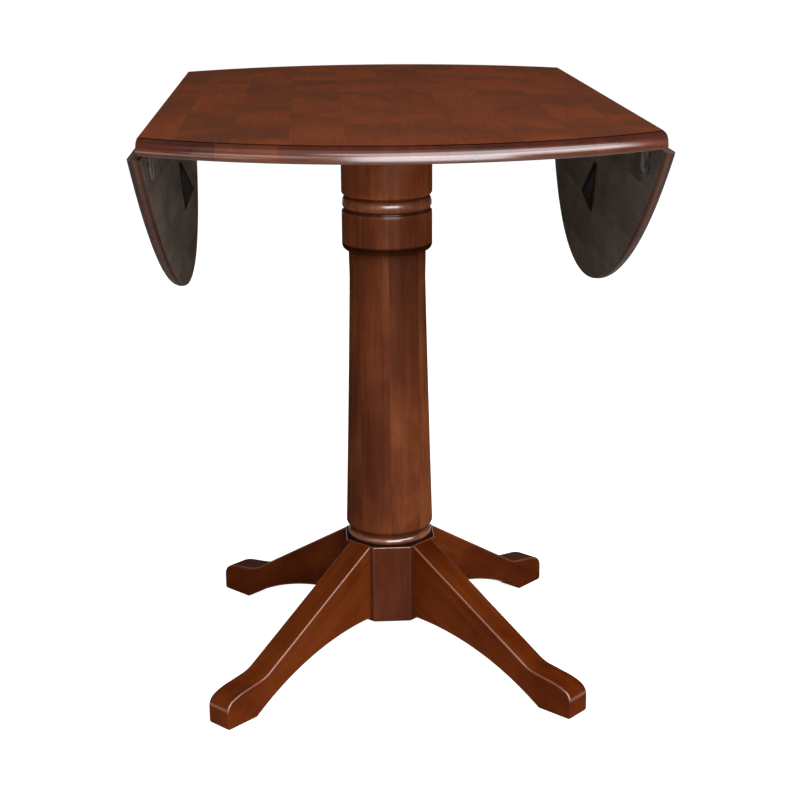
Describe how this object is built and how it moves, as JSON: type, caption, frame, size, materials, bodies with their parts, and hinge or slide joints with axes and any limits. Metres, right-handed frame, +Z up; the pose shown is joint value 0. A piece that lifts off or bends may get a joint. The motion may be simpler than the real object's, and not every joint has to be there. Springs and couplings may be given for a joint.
{
  "type": "drop-leaf pedestal table",
  "caption": "Round counter-height pedestal table with drop leaves on hinges, sliding leaf supports, a turned column on an eight-sided hub, and curved legs.",
  "frame": {"origin": "on the floor, under the middle of the pedestal", "axes": "+Z up; X runs from leaf to leaf, the left leaf at -X; the front is -Y"},
  "size_m": [0.7, 1.1798, 0.922],
  "materials": {
    "stained_wood": "reddish-brown stain under satin lacquer",
    "dark_wood": "darker reddish-brown stain under satin lacquer",
    "plain_wood": "unstained hardwood, waxed",
    "hinge_bronze": "dark bronze-plated sheet, worn bright at a few edges",
    "zinc_steel": "zinc-plated steel"
  },
  "bodies": {
    "stand": {"center_top": "stained_wood", "hinge_top_plates": "hinge_bronze", "hinge_top_screws": "hinge_bronze", "hinge_pins": "zinc_steel", "front_rail": "plain_wood", "center_rail": "plain_wood", "back_rail": "plain_wood", "rail_screws": "zinc_steel", "stop_blocks": "plain_wood", "stop_block_screws": "zinc_steel", "mounting_plate": "dark_wood", "plate_screws": "zinc_steel", "upper_column": "stained_wood", "main_column": "stained_wood", "hub": "stained_wood", "leg_front_left": "dark_wood", "leg_front_right": "dark_wood", "leg_back_left": "dark_wood", "leg_back_right": "dark_wood", "leg_bolts": "zinc_steel", "leg_washers": "zinc_steel", "leg_nuts": "zinc_steel", "tie_rod": "zinc_steel", "tie_rod_washers": "zinc_steel", "tie_rod_nuts": "zinc_steel"},
    "left_leaf": {"left_leaf": "stained_wood", "left_hinge_plates": "hinge_bronze", "left_hinge_screws": "hinge_bronze", "left_wedge": "dark_wood", "left_wedge_screws": "zinc_steel"},
    "left_slide": {"left_slide": "plain_wood", "left_slide_pin": "plain_wood"},
    "right_leaf": {"right_leaf": "stained_wood", "right_hinge_plates": "hinge_bronze", "right_hinge_screws": "hinge_bronze", "right_wedge": "dark_wood", "right_wedge_screws": "zinc_steel"},
    "right_slide": {"right_slide": "plain_wood", "right_slide_pin": "plain_wood"}
  },
  "joints": [
    {"name": "left_leaf_hinge", "type": "hinge", "parent": "stand", "child": "left_leaf", "pos_m": [-0.3305, 0, 0.902], "axis": [0, 1, 0], "range_deg": [0, 95]},
    {"name": "right_leaf_hinge", "type": "hinge", "parent": "stand", "child": "right_leaf", "pos_m": [0.3305, 0, 0.902], "axis": [0, -1, 0], "range_deg": [0, 95]},
    {"name": "left_support_slide", "type": "slide", "parent": "stand", "child": "left_slide", "axis": [-1, 0, 0], "range_m": [0, 0.4275]},
    {"name": "right_support_slide", "type": "slide", "parent": "stand", "child": "right_slide", "axis": [1, 0, 0], "range_m": [0, 0.4275]}
  ],
  "couplings": [
    {"joint": "left_support_slide", "follows": "left_leaf_hinge", "m_per_rad": 0.2578},
    {"joint": "right_support_slide", "follows": "right_leaf_hinge", "m_per_rad": 0.2578}
  ]
}
